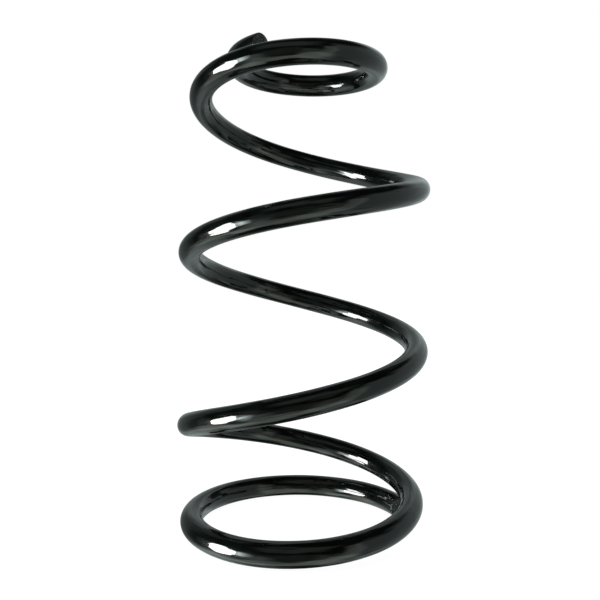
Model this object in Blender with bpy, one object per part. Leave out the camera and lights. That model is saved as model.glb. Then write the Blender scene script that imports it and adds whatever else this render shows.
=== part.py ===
"""Coil spring of a car's suspension: one round steel wire, wound right-handed about +Z.

Metres, +Z up. The coil's axis is Z and the spring stands on Z = 0 on its lower end coil, which is
wound flat. Above it come the working coils, and the upper end coil is drawn in to a smaller radius.
The wire is modelled as short stretches, end to end, so that each can travel with the coil it is on.
Places along the wire are in turns about the axis, counted from +X towards +Y.
"""

import math

import bmesh
import bpy
import numpy as np
from mathutils import Vector

# The wire and the coils it is wound in. Radii are from the axis to the middle of the wire.
WIRE_DIAMETER = 0.013
LOWER_COIL_RADIUS = 0.0625
BODY_COIL_RADIUS = 0.065
UPPER_COIL_RADIUS = 0.0395

# Where the wire starts and ends, and over which turns its radius changes.
LOWER_TIP = 0.04
UPPER_TIP = 4.647
LOWER_FLARE = (0.30, 1.80)
UPPER_TAPER = (3.30, 4.05)

# How high it stands unloaded, and how far the wire clears its own lower tip, one turn on from it.
FREE_HEIGHT = 0.2741
TIP_CLEARANCE = 0.001882

# How steeply the wire climbs, as (place, rise for each turn), in straight lines between the places.
# Both end coils are flat, to sit on their seats, and the coils between them are wound open. The climb
# at FIRST_CLIMB follows from the clearance at the lower tip, and the others are scaled together to
# reach the free height.
CLIMB_START = 0.62
FIRST_CLIMB = 0.90
CLIMB = (
    (1.30, 0.086),
    (1.90, 0.100),
    (2.30, 0.101),
    (2.75, 0.075),
    (3.15, 0.108),
    (3.40, 0.095),
    (3.70, 0.031),
    (4.10, 0.013),
    (4.35, 0.000),
)

# The stretches: how many on each part of the wire, and the gap between two of them.
LOWER_END_STRETCHES = 9
WORKING_STRETCHES = 20
UPPER_END_STRETCHES = 7
SEAM_GAP = 0.0003

# The wire's section is an octagon with flats on top, below, inside and outside, as wide as the wire.
SECTION_SIDES = 8
BEVEL_RESOLUTION = SECTION_SIDES // 2 - 2
POINTS_PER_TURN = 56
WELD_DISTANCE = 0.00001

PAINT_COLOUR = (0.012, 0.014, 0.013, 1.0)
PAINT_ROUGHNESS = 0.18


def eased(value, start, end):
    """0 before start, 1 after end, and smooth between them."""
    share = min(max((value - start) / (end - start), 0.0), 1.0)
    return share * share * (3 - 2 * share)


def coil_radius(turn):
    """Distance from the axis to the middle of the wire."""
    flare = (BODY_COIL_RADIUS - LOWER_COIL_RADIUS) * eased(turn, *LOWER_FLARE)
    taper = (BODY_COIL_RADIUS - UPPER_COIL_RADIUS) * eased(turn, *UPPER_TAPER)
    return LOWER_COIL_RADIUS + flare - taper


def rise(climbs, turn):
    """How far the wire has risen at this place, under a climb law of (place, rise for each turn)."""
    places, values = zip(*climbs)
    stops = [p for p in places if p < turn] + [turn]
    steep = np.interp(stops, places, values)
    return float(np.sum(np.diff(stops) * (steep[1:] + steep[:-1]) / 2))


def climb_law():
    """The whole climb law, clear of the lower tip and as high as the spring stands."""
    tip_part = [(CLIMB_START, 0.0), (FIRST_CLIMB, 1.0)] + [(place, 0.0) for place, _ in CLIMB]
    open_part = [(CLIMB_START, 0.0), (FIRST_CLIMB, 0.0), *CLIMB]
    ends = (LOWER_TIP + 1, UPPER_TIP)
    parts = [[rise(tip_part, end), rise(open_part, end)] for end in ends]
    wanted = [WIRE_DIAMETER + TIP_CLEARANCE, FREE_HEIGHT - WIRE_DIAMETER]
    first, scale = np.linalg.solve(parts, wanted)
    return [(CLIMB_START, 0.0), (FIRST_CLIMB, first)] + [(p, c * scale) for p, c in CLIMB]


CLIMB_LAW = climb_law()


def wire_height(turn):
    """Height of the middle of the wire."""
    return WIRE_DIAMETER / 2 + rise(CLIMB_LAW, turn)


def wire_point(turn):
    """Middle of the wire at this place."""
    angle = 2 * math.pi * turn
    radius = coil_radius(turn)
    return Vector((radius * math.cos(angle), radius * math.sin(angle), wire_height(turn)))


def round_the_axis(turn):
    """Level direction in which the wire runs at this place."""
    angle = 2 * math.pi * turn
    return Vector((-math.sin(angle), math.cos(angle), 0.0))


def painted_steel():
    material = bpy.data.materials.new("painted_steel")
    material.use_nodes = True
    shader = material.node_tree.nodes["Principled BSDF"]
    shader.inputs["Base Color"].default_value = PAINT_COLOUR
    shader.inputs["Roughness"].default_value = PAINT_ROUGHNESS
    shader.inputs["Metallic"].default_value = 0.0
    return material


def swept_wire(start, end):
    """Mesh of the wire from one place to another, its ends square to the wire and closed."""
    curve = bpy.data.curves.new("wire_path", "CURVE")
    curve.dimensions = "3D"
    curve.twist_mode = "Z_UP"
    curve.bevel_depth = WIRE_DIAMETER / 2 / math.cos(math.pi / SECTION_SIDES)
    curve.bevel_resolution = BEVEL_RESOLUTION
    curve.use_fill_caps = True
    turns = np.linspace(start, end, max(2, round((end - start) * POINTS_PER_TURN) + 1))
    spline = curve.splines.new("POLY")
    spline.points.add(len(turns) - 1)
    for point, turn in zip(spline.points, turns):
        point.co = (*wire_point(turn), 1.0)
        point.tilt = math.pi / SECTION_SIDES
    path = bpy.data.objects.new("wire_path", curve)
    bpy.context.scene.collection.objects.link(path)
    bpy.context.view_layer.update()
    mesh = bpy.data.meshes.new_from_object(path.evaluated_get(bpy.context.evaluated_depsgraph_get()))
    bpy.data.objects.remove(path)
    return mesh


def trim(shape, turn, side):
    """Cuts the wire on the upright plane through the axis at this place, half a seam gap short of it.

    side is 1 where the wire runs on past the place, and -1 where it comes from.
    """
    outward = round_the_axis(turn) * side
    cut = bmesh.ops.bisect_plane(
        shape,
        geom=shape.verts[:] + shape.edges[:] + shape.faces[:],
        dist=0.0,
        plane_co=outward * -SEAM_GAP / 2,
        plane_no=outward,
        clear_outer=True,
    )
    rim = [item for item in cut["geom_cut"] if isinstance(item, bmesh.types.BMEdge)]
    bmesh.ops.edgeloop_fill(shape, edges=rim)


def make_stretch(name, start, end, material, collection):
    """One stretch of the wire. It is trimmed at its seams, and a wire tip keeps its square cut."""
    overlap = 1 / POINTS_PER_TURN
    first, last = start <= LOWER_TIP, end >= UPPER_TIP
    mesh = swept_wire(start if first else start - overlap, end if last else end + overlap)
    shape = bmesh.new()
    shape.from_mesh(mesh)
    bmesh.ops.remove_doubles(shape, verts=shape.verts, dist=WELD_DISTANCE)
    if not first:
        trim(shape, start, -1)
    if not last:
        trim(shape, end, 1)
    bmesh.ops.recalc_face_normals(shape, faces=shape.faces)
    shape.to_mesh(mesh)
    shape.free()
    mesh.name = name
    mesh.materials.clear()
    mesh.materials.append(material)
    mesh.shade_smooth()
    mesh.set_sharp_from_angle(angle=math.radians(50))
    stretch = bpy.data.objects.new(name, mesh)
    collection.objects.link(stretch)
    return stretch


def stretch_names():
    """Names of the stretches, from the lower tip to the upper one."""
    lower = [f"lower_end_coil_{n + 1}" for n in range(LOWER_END_STRETCHES)]
    working = [f"working_coil_{n + 1:02d}" for n in range(WORKING_STRETCHES)]
    upper = [f"upper_end_coil_{n + 1}" for n in range(UPPER_END_STRETCHES)]
    return lower + working + upper


def main():
    for thing in list(bpy.data.objects):
        bpy.data.objects.remove(thing)
    collection = bpy.data.collections.new("coil_spring")
    bpy.context.scene.collection.children.link(collection)
    names = stretch_names()
    seams = np.linspace(LOWER_TIP, UPPER_TIP, len(names) + 1)
    for name, start, end in zip(names, seams[:-1], seams[1:]):
        material = painted_steel()
        make_stretch(name, float(start), float(end), material, collection)


main()
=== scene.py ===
"""Looks of the coil spring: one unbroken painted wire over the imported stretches, in a pale studio.

Metres, +Z up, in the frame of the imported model. Places along the wire are in turns about the axis,
counted from +X towards +Y, as in the CAD, or in metres of wire from the lower tip.
"""

import math

import bpy
import numpy as np
from mathutils import Matrix, Vector, noise


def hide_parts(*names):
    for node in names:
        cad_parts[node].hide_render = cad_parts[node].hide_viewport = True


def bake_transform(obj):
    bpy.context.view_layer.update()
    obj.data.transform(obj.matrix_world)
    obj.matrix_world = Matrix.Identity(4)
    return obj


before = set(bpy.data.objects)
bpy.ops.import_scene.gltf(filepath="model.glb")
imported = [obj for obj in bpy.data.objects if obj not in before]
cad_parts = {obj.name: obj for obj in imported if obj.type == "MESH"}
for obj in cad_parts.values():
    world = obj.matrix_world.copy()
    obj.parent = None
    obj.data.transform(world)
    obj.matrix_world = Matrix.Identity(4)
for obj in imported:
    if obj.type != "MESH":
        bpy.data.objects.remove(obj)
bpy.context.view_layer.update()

# The wire and its coils, as the CAD has them.
WIRE_RADIUS = 0.0065
LOWER_COIL_RADIUS = 0.0625
BODY_COIL_RADIUS = 0.065
UPPER_COIL_RADIUS = 0.0395
LOWER_TIP = 0.04
UPPER_TIP = 4.647
LOWER_FLARE = (0.30, 1.80)
UPPER_TAPER = (3.30, 4.05)
# How steeply it climbs, as (place, rise for each turn).
CLIMB = (
    (0.62, 0.000),
    (0.90, 0.050),
    (1.30, 0.086),
    (1.90, 0.100),
    (2.30, 0.101),
    (2.75, 0.075),
    (3.15, 0.108),
    (3.40, 0.095),
    (3.70, 0.031),
    (4.10, 0.013),
    (4.35, 0.000),
)

# How the load closes the coils: a coil gives as much as it is open, past this much rise for each
# turn, and the coil next to the lower tip doesn't give at all.
CLOSED_RISE = 0.015
FREE_FROM = (0.95, 1.35)

# Fineness of the wire's mesh.
STATION_STEP = 0.00105
RING_SIDES = 56
LAW_STEPS = 8000

# The unevenness of the wire: how deep it is, and how fast it changes along and across the wire.
LONG_WAVES = (0.000060, 42, 150)
FINE_WAVES = (0.000020, 95, 420)

# The wire's cut ends: how round the edge is, how far the face leans and how far along the wire the
# lean reaches, how deep it is torn, and how fast its grain and its lumps change across and up it.
EDGE_ROUND = 0.0006
CUT_LEAN = 0.02
LEAN_REACH = 0.0015
CUT_RELIEF = 0.00024
CUT_GRAIN = (900, 520)
CUT_LUMPS = (300, 260)
LUMP_SHARE = 1.2
FACE_RINGS = 12
ROUND_RINGS = 6

# How the surface is laid out flat for baking: strips side by side over most of a square.
STRIPS = 7
STRIP_MARGIN = 0.02
STRIP_HEIGHT = 0.94
CUT_SPOT = 0.015

# What the lamps face.
SPRING_MIDDLE = (0.0, 0.0, 0.13)


# ---------------------------------------------------------------- the wire's course

def smooth(value, start, end):
    """0 before start, 1 after end, and smooth between them."""
    share = np.clip((np.asarray(value, float) - start) / (end - start), 0.0, 1.0)
    return share * share * (3 - 2 * share)


class WireLaw:
    """The wire's middle line, its length and its share of the travel, as functions of the turn."""

    def __init__(self):
        places, climbs = zip(*CLIMB)
        self.turn = np.linspace(LOWER_TIP, UPPER_TIP, LAW_STEPS)
        climb = np.interp(self.turn, places, climbs)
        height = WIRE_RADIUS + self.summed(climb)
        flare = (BODY_COIL_RADIUS - LOWER_COIL_RADIUS) * smooth(self.turn, *LOWER_FLARE)
        taper = (BODY_COIL_RADIUS - UPPER_COIL_RADIUS) * smooth(self.turn, *UPPER_TAPER)
        radius = LOWER_COIL_RADIUS + flare - taper
        angle = 2 * math.pi * self.turn
        self.middle = np.stack([radius * np.cos(angle), radius * np.sin(angle), height], 1)
        steps = np.linalg.norm(np.diff(self.middle, axis=0), axis=1)
        self.length = np.concatenate([[0.0], np.cumsum(steps)])
        opened = np.maximum(climb - CLOSED_RISE, 0.0)
        given = self.summed(opened * smooth(self.turn, *FREE_FROM))
        self.share = given / given[-1]

    def summed(self, rate):
        steps = (rate[1:] + rate[:-1]) / 2 * np.diff(self.turn)
        return np.concatenate([[0.0], np.cumsum(steps)])

    def turn_at(self, length):
        return np.interp(length, self.length, self.turn)

    def middle_at(self, length):
        return np.stack([np.interp(length, self.length, line) for line in self.middle.T], 1)


law = WireLaw()
WIRE_LENGTH = float(law.length[-1])


# ---------------------------------------------------------------- the wire's mesh

def directions_at(lengths):
    """Directions along the wire, outward and upward at these lengths from the lower tip."""
    nudge = WIRE_LENGTH / LAW_STEPS * 4
    ahead = law.middle_at(np.minimum(lengths + nudge, WIRE_LENGTH))
    along = ahead - law.middle_at(np.maximum(lengths - nudge, 0.0))
    along /= np.linalg.norm(along, axis=1)[:, None]
    out = np.cross(along, (0.0, 0.0, 1.0))
    out /= np.linalg.norm(out, axis=1)[:, None]
    return along, out, np.cross(out, along)


def waviness(straight):
    """Slight unevenness of the drawn wire, in metres, at places on the straightened wire."""
    long_depth, long_along, long_across = LONG_WAVES
    fine_depth, fine_along, fine_across = FINE_WAVES
    deep = np.empty(len(straight))
    for i, (s, y, z) in enumerate(straight):
        long = noise.noise(Vector((s * long_along, y * long_across, z * long_across)))
        fine = noise.noise(Vector((s * fine_along + 7, y * fine_across, z * fine_across)))
        deep[i] = long * long_depth + fine * fine_depth
    return deep


def tip_rings(upper):
    """Rings from a cut face's middle out over its rounded edge: (length, radius, face share)."""
    flat_reach = WIRE_RADIUS - EDGE_ROUND
    found = [(0.0, flat_reach * k / FACE_RINGS, 1.0) for k in range(1, FACE_RINGS + 1)]
    for k in range(1, ROUND_RINGS):
        a = math.pi / 2 * k / ROUND_RINGS
        reach = flat_reach + EDGE_ROUND * math.sin(a)
        found.append((EDGE_ROUND * (1 - math.cos(a)), reach, 1.0 - k / ROUND_RINGS))
    if upper:
        found = [(WIRE_LENGTH - s, r, f) for s, r, f in reversed(found)]
    return found


def cut_push(straight, face):
    """How far places move along the wire: a sheared cut leans a little and its face is torn."""
    way = np.where(straight[:, 0] < WIRE_LENGTH / 2, -1.0, 1.0)
    from_tip = np.minimum(straight[:, 0], WIRE_LENGTH - straight[:, 0])
    close = np.clip(1 - from_tip / LEAN_REACH, 0, 1)
    lean = -CUT_LEAN * (WIRE_RADIUS - straight[:, 2]) * close
    torn = np.zeros(len(straight))
    for i in np.flatnonzero(face > 0.01):
        side, y, z = way[i], straight[i, 1], straight[i, 2]
        grain_at = Vector((7 * side, y * CUT_GRAIN[0], z * CUT_GRAIN[1]))
        lumps_at = Vector((3 * side, y * CUT_LUMPS[0], z * CUT_LUMPS[1]))
        grain = noise.fractal(grain_at, 0.8, 2.1, 4)
        torn[i] = grain * CUT_RELIEF + noise.noise(lumps_at) * CUT_RELIEF * LUMP_SHARE
    return way * (lean + torn * face)


def wire_faces(n_rings):
    """Faces between the rings, and then those that fill the middle of each cut face."""
    i = np.arange(n_rings - 1)[:, None] * RING_SIDES
    j = np.arange(RING_SIDES)
    k = (j + 1) % RING_SIDES
    quads = np.stack([i + j, i + RING_SIDES + j, i + RING_SIDES + k, i + k], 2).reshape(-1, 4)
    lower_middle = np.full(RING_SIDES, n_rings * RING_SIDES)
    last_ring = (n_rings - 1) * RING_SIDES
    lower_fan = np.stack([lower_middle, j, k], 1)
    upper_fan = np.stack([lower_middle + 1, last_ring + k, last_ring + j], 1)
    return quads.tolist() + lower_fan.tolist() + upper_fan.tolist()


def unroll(mesh, n_rings):
    """Lays the wire's surface out flat in strips side by side, and its cuts' middles above."""
    rows = math.ceil((n_rings - 1) / STRIPS)
    i = np.arange(n_rings - 1)[:, None, None] + np.array([0, 1, 1, 0])
    j = np.arange(RING_SIDES)[None, :, None] + np.array([0, 0, 1, 1])
    strip = (np.arange(n_rings - 1) // rows)[:, None, None]
    i, j, strip = np.broadcast_arrays(i, j, strip)
    across = (strip + STRIP_MARGIN + (1 - 2 * STRIP_MARGIN) * j / RING_SIDES) / STRIPS
    down = STRIP_HEIGHT * (i - strip * rows) / rows
    places = [np.stack([across, down], -1).reshape(-1, 2)]
    # The two cuts are seen from opposite sides, so their middles turn opposite ways.
    for centre, way in ((0.25, 1), (0.75, -1)):
        first = np.arange(RING_SIDES) + (0 if way == 1 else 1)
        turned = 2 * math.pi * np.stack([first, first + way], 1) / RING_SIDES
        rim_across = centre + CUT_SPOT * np.cos(turned)
        rim = np.stack([rim_across, 1 - CUT_SPOT * (2 + np.sin(turned))], -1)
        middle = np.broadcast_to([centre, 1 - 2 * CUT_SPOT], (RING_SIDES, 1, 2))
        places.append(np.concatenate([middle, rim], 1).reshape(-1, 2))
    layer = mesh.uv_layers.new(name="OFBake")
    layer.uv.foreach_set("vector", np.concatenate(places).astype(np.float32).ravel())


def wire_mesh():
    """The whole wire as one closed mesh, and the turn that each of its points belongs to.

    Its points keep two attributes for the paint: straight_wire, the place on the straightened wire,
    and cut_face, 1 on a cut end and 0 on the rest.
    """
    body = np.linspace(EDGE_ROUND, WIRE_LENGTH - EDGE_ROUND, round(WIRE_LENGTH / STATION_STEP))
    rings = tip_rings(False) + [(s, WIRE_RADIUS, 0.0) for s in body] + tip_rings(True)
    n_rings = len(rings)
    lengths, radii, faces = (np.array(x) for x in zip(*rings))
    angle = np.linspace(0, 2 * math.pi, RING_SIDES, endpoint=False)
    y = radii[:, None] * np.cos(angle)
    z = radii[:, None] * np.sin(angle)
    straight = np.stack([np.broadcast_to(lengths[:, None], y.shape), y, z], 2).reshape(-1, 3)
    straight = np.concatenate([straight, [[0.0, 0.0, 0.0], [WIRE_LENGTH, 0.0, 0.0]]])
    face = np.concatenate([np.repeat(faces, RING_SIDES), [1.0, 1.0]])
    ring_of = np.concatenate([np.repeat(np.arange(n_rings), RING_SIDES), [0, n_rings - 1]])

    distance = np.hypot(straight[:, 1], straight[:, 2])
    uneven = waviness(straight) * (1 - face)
    grown = 1 + np.where(distance > 0, uneven / np.maximum(distance, 1e-6), 0.0)
    along, out, up = directions_at(lengths)
    points = (
        law.middle_at(lengths)[ring_of]
        + out[ring_of] * (straight[:, 1] * grown)[:, None]
        + up[ring_of] * (straight[:, 2] * grown)[:, None]
        + along[ring_of] * cut_push(straight, face)[:, None]
    )

    mesh = bpy.data.meshes.new("spring_wire")
    mesh.from_pydata(points.tolist(), [], wire_faces(n_rings))
    mesh.update()
    mesh.shade_smooth()
    unroll(mesh, n_rings)
    place = mesh.attributes.new("straight_wire", "FLOAT_VECTOR", "POINT")
    place.data.foreach_set("vector", straight.astype(np.float32).ravel())
    cut = mesh.attributes.new("cut_face", "FLOAT", "POINT")
    cut.data.foreach_set("value", face.astype(np.float32))
    return mesh, law.turn_at(lengths)[ring_of]


# ---------------------------------------------------------------- materials

class Nodes:
    """Short hand for building a node tree."""

    def __init__(self, tree):
        self.tree = tree
        tree.nodes.clear()

    def add(self, kind, inputs=(), **settings):
        node = self.tree.nodes.new("ShaderNode" + kind)
        for name, value in settings.items():
            setattr(node, name, value)
        for key, value in dict(inputs).items():
            if isinstance(value, bpy.types.NodeSocket):
                self.tree.links.new(value, node.inputs[key])
            else:
                node.inputs[key].default_value = value
        return node

    def show(self, kind, shader):
        """Ends the tree: kind is OutputMaterial or OutputWorld."""
        self.tree.links.new(shader, self.add(kind).inputs[0])

    def maths(self, operation, *values, clamp=False):
        node = self.add("Math", enumerate(values), operation=operation, use_clamp=clamp)
        return node.outputs[0]

    def dot(self, *values):
        node = self.add("VectorMath", enumerate(values), operation="DOT_PRODUCT")
        return node.outputs["Value"]

    def mix(self, share, none, full):
        """A colour between two others, given as colours or sockets."""
        return self.add("Mix", {0: share, 6: none, 7: full}, data_type="RGBA").outputs[2]

    def spread(self, value, low, high, to_low=0.0, to_high=1.0):
        """value from low..high to to_low..to_high, eased at both ends."""
        node = self.add(
            "MapRange",
            {0: value, 1: low, 2: high, 3: to_low, 4: to_high},
            interpolation_type="SMOOTHSTEP",
        )
        return node.outputs[0]

    def noise(self, place, scale, detail, rough, stretch=(1.0, 1.0, 1.0), offset=(0, 0, 0)):
        moved = self.add("Mapping", {"Vector": place, "Scale": stretch, "Location": offset})
        made = self.add(
            "TexNoise",
            {"Vector": moved.outputs[0], "Scale": scale, "Detail": detail, "Roughness": rough},
        )
        return made.outputs["Fac"]


# Colours, linear. The paint varies between its two in blotches, and the torn cut ends have paler
# specks.
PAINT_DARK = (0.0003, 0.0006, 0.0005, 1)
PAINT_LIGHT = (0.0010, 0.0018, 0.0014, 1)
CUT_DARK = (0.016, 0.019, 0.017, 1)
CUT_SPECK = (0.15, 0.158, 0.15, 1)

# Heights of the paint's relief in millimetres: broad and fine lines left by drawing the wire, and
# the paint's orange peel.
BROAD_LINES = 0.40
FINE_LINES = 0.050
ORANGE_PEEL = 0.012


def black_paint():
    """Black gloss: a clear coat over a dark ground, thin on the torn faces of the cut ends."""
    material = bpy.data.materials.new("black_paint")
    material.use_nodes = True
    n = Nodes(material.node_tree)
    place = n.add("Attribute", attribute_name="straight_wire").outputs["Vector"]
    face = n.add("Attribute", attribute_name="cut_face").outputs["Fac"]

    broad = n.noise(place, 1.0, 1.0, 0.4, stretch=(60, 380, 380))
    fine = n.noise(place, 1.0, 0.0, 0.5, stretch=(50, 950, 950), offset=(5, 0, 0))
    peel = n.noise(place, 560.0, 1.0, 0.4)
    torn = n.noise(place, 1100.0, 4.0, 0.7, stretch=(1, 1, 0.6))
    blotch = n.noise(place, 75.0, 3.0, 0.6)
    grain = n.noise(place, 950.0, 3.0, 0.65, offset=(3, 1, 2))

    height = n.maths("MULTIPLY", broad, BROAD_LINES)
    height = n.maths("MULTIPLY_ADD", fine, FINE_LINES, height)
    height = n.maths("MULTIPLY_ADD", peel, ORANGE_PEEL, height)
    relief = n.add("Bump", {"Height": height, "Strength": 1.0, "Distance": 0.001}).outputs[0]
    torn_height = n.maths("MULTIPLY", torn, face)
    relief = n.add(
        "Bump",
        {"Height": torn_height, "Strength": 0.8, "Distance": 0.00030, "Normal": relief},
    ).outputs[0]

    paint = n.mix(n.spread(blotch, 0.35, 0.7), PAINT_DARK, PAINT_LIGHT)
    speck = n.maths("MULTIPLY", n.spread(grain, 0.56, 0.70), face)
    colour = n.mix(face, paint, n.mix(speck, CUT_DARK, CUT_SPECK))
    roughness = n.spread(blotch, 0.3, 0.75, 0.20, 0.34)
    roughness = n.maths("MULTIPLY_ADD", face, 0.35, roughness, clamp=True)
    coat = n.maths("MULTIPLY_ADD", face, -0.75, 1.0, clamp=True)
    shader = n.add(
        "BsdfPrincipled",
        {
            "Base Color": colour,
            "Roughness": roughness,
            "Specular IOR Level": 0.04,
            "Coat Weight": coat,
            "Coat Roughness": 0.05,
            "Coat IOR": 1.5,
            "Normal": relief,
            "Coat Normal": relief,
        },
    )
    n.show("OutputMaterial", shader.outputs[0])
    return material


# The floor's glow next to the spring and far off, and the distances that it changes between.
FLOOR_COLOUR = (0.16, 0.16, 0.16, 1)
FLOOR_GLOW_NEAR, FLOOR_GLOW_FAR = 0.96, 1.05
FLOOR_FADE = (0.1, 0.6)


def pale_floor():
    """White, and bright enough to run into the white of the room, but for a breath of shadow."""
    material = bpy.data.materials.new("pale_floor")
    material.use_nodes = True
    n = Nodes(material.node_tree)
    place = n.add("TexCoord").outputs["Object"]
    away = n.add("VectorMath", {0: place}, operation="LENGTH").outputs["Value"]
    strength = n.spread(away, *FLOOR_FADE, FLOOR_GLOW_NEAR, FLOOR_GLOW_FAR)
    matt = n.add("BsdfDiffuse", {"Color": FLOOR_COLOUR})
    glow = n.add("Emission", {"Color": (1, 1, 1, 1), "Strength": strength})
    both = n.add("AddShader", {0: matt.outputs[0], 1: glow.outputs[0]})
    n.show("OutputMaterial", both.outputs[0])
    return material


# ---------------------------------------------------------------- studio

# The room round the object, as its paint reflects it: a dark grey with soft patches. They are given
# as (azimuth, elevation, half width, half height, softness, brightness), in degrees but the last.
STUDIO_GREY = 0.02
WARM = (0.90, 1.0, 0.88, 1)
WARM_PATCHES = (
    (-12, 56, 26, 18, 9, 0.28),     # ceiling over the camera
    (-20, -6, 34, 20, 10, 0.13),    # room behind the camera
    (24, -14, 11, 22, 7, 0.34),     # wall on the right of the camera
    (46, -6, 9, 36, 5, 0.68),       # bright edge of that wall
    (-31, -70, 54, 15, 9, 1.15),    # table in front, near
    (-14, -47, 28, 11, 8, 0.66),    # table in front, further off
)
COOL = (0.86, 1.0, 0.98, 1)
COOL_PATCHES = (
    (108, -2, 58, 44, 9, 0.42),     # wall on the right
    (180, 8, 22, 48, 12, 0.26),     # behind
    (-146, 6, 26, 50, 12, 0.13),    # behind on the left
    (88, -64, 26, 14, 8, 0.60),     # table on the right
    (-74, -62, 14, 8, 6, 1.0),      # table under the lamp
    (-38, -26, 9, 20, 9, 0.62),     # wall beside the lamp
    (-54, -10, 3, 11, 10, 18.0),    # the lamp's paler edge
    (-138, -48, 20, 14, 10, 0.55),  # table behind on the left
)


def towards(azimuth, elevation):
    """Unit vector: azimuth 0 is towards the front (-Y) and 90 towards +X."""
    a, e = math.radians(azimuth), math.radians(elevation)
    return Vector((math.sin(a) * math.cos(e), -math.cos(a) * math.cos(e), math.sin(e)))


def patch(n, way, azimuth, elevation, half_width, half_height, softness):
    """1 in a soft-edged window of the sky and 0 outside it."""
    forward = towards(azimuth, elevation)
    right = Vector((math.cos(math.radians(azimuth)), math.sin(math.radians(azimuth)), 0.0))
    ahead = n.dot(way, tuple(forward))
    across = n.dot(way, tuple(right))
    above = n.dot(way, tuple(right.cross(forward)))
    square = n.maths("ADD", n.maths("MULTIPLY", across, across), n.maths("MULTIPLY", ahead, ahead))
    off_level = n.maths("ABSOLUTE", n.maths("ARCTAN2", across, ahead))
    off_height = n.maths("ABSOLUTE", n.maths("ARCTAN2", above, n.maths("SQRT", square)))
    w, h, soft = (math.radians(x) for x in (half_width, half_height, softness))
    beside = n.spread(off_level, w - soft, w + soft, 1.0, 0.0)
    over = n.spread(off_height, h - soft, h + soft, 1.0, 0.0)
    return n.maths("MULTIPLY", beside, over)


def studio():
    """The world: the patchy room in reflections and light, and plain white to the camera."""
    world = bpy.data.worlds.new("studio")
    bpy.context.scene.world = world
    world.use_nodes = True
    n = Nodes(world.node_tree)
    way = n.add("TexCoord").outputs["Generated"]
    sides = []
    for patches, colour in ((WARM_PATCHES, WARM), (COOL_PATCHES, COOL)):
        light = STUDIO_GREY / 2
        for *where, brightness in patches:
            light = n.maths("MULTIPLY_ADD", patch(n, way, *where), brightness, light)
        sides.append(n.add("Background", {"Color": colour, "Strength": light}).outputs[0])
    room = n.add("AddShader", enumerate(sides)).outputs[0]
    white = n.add("Background", {"Color": (1, 1, 1, 1), "Strength": 1.0}).outputs[0]
    seen = n.add("LightPath").outputs["Is Camera Ray"]
    n.show("OutputWorld", n.add("MixShader", {0: seen, 1: room, 2: white}).outputs[0])


def lamp(name, azimuth, elevation, distance, width, height, radiance, glossy=True):
    """An oval lamp that faces the spring's middle and that the camera doesn't see."""
    data = bpy.data.lights.new(name, "AREA")
    data.shape = "ELLIPSE"
    data.size, data.size_y = width, height
    # The last part is the share of width x height that an oval fills.
    data.energy = radiance * math.pi * width * height * math.pi / 4
    light = bpy.data.objects.new(name, data)
    bpy.context.scene.collection.objects.link(light)
    way = towards(azimuth, elevation)
    light.location = Vector(SPRING_MIDDLE) + way * distance
    light.rotation_mode = "QUATERNION"
    light.rotation_quaternion = way.to_track_quat("Z", "Y")
    light.visible_camera = False
    light.visible_glossy = glossy


FLOOR_HALF_WIDTH = 8.0


def floor():
    """The floor under the spring. Reflections and light from below pass through it."""
    half = FLOOR_HALF_WIDTH
    corners = [(-half, -half, 0), (half, -half, 0), (half, half, 0), (-half, half, 0)]
    mesh = bpy.data.meshes.new("floor")
    mesh.from_pydata(corners, [], [(0, 1, 2, 3)])
    mesh.materials.append(pale_floor())
    made = bpy.data.objects.new("floor", mesh)
    bpy.context.scene.collection.objects.link(made)
    made.visible_glossy = False
    made.visible_shadow = False


CAMERA_PLACE = (0.0, -0.3971, 0.13776)
CAMERA_DOWN, CAMERA_ROLL = 0.831, 0.693
LENS, LENS_SHIFT = 41.09, -0.00552


def camera():
    """In front of the spring at half its height, and close enough that its coils open up."""
    data = bpy.data.cameras.new("camera")
    data.sensor_width = 36.0
    data.lens = LENS
    data.shift_x = LENS_SHIFT
    data.clip_start, data.clip_end = 0.01, 20.0
    made = bpy.data.objects.new("camera", data)
    bpy.context.scene.collection.objects.link(made)
    made.matrix_world = (
        Matrix.Translation(CAMERA_PLACE)
        @ Matrix.Rotation(math.radians(90 - CAMERA_DOWN), 4, "X")
        @ Matrix.Rotation(math.radians(CAMERA_ROLL), 4, "Z")
    )
    bpy.context.scene.camera = made


# ---------------------------------------------------------------- putting it together

camera()
studio()
lamp("key", -72, -11, 1.2, 0.66, 0.93, 24.0)
lamp("overhead", 0, 90, 1.5, 2.7, 2.7, 1.6, glossy=False)
floor()
bpy.context.scene.view_settings.view_transform = "Standard"

mesh, turn_of = wire_mesh()
mesh.materials.append(black_paint())
wire = bpy.data.objects.new("spring_wire", mesh)
bpy.context.scene.collection.objects.link(wire)
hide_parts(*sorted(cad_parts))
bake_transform(wire)
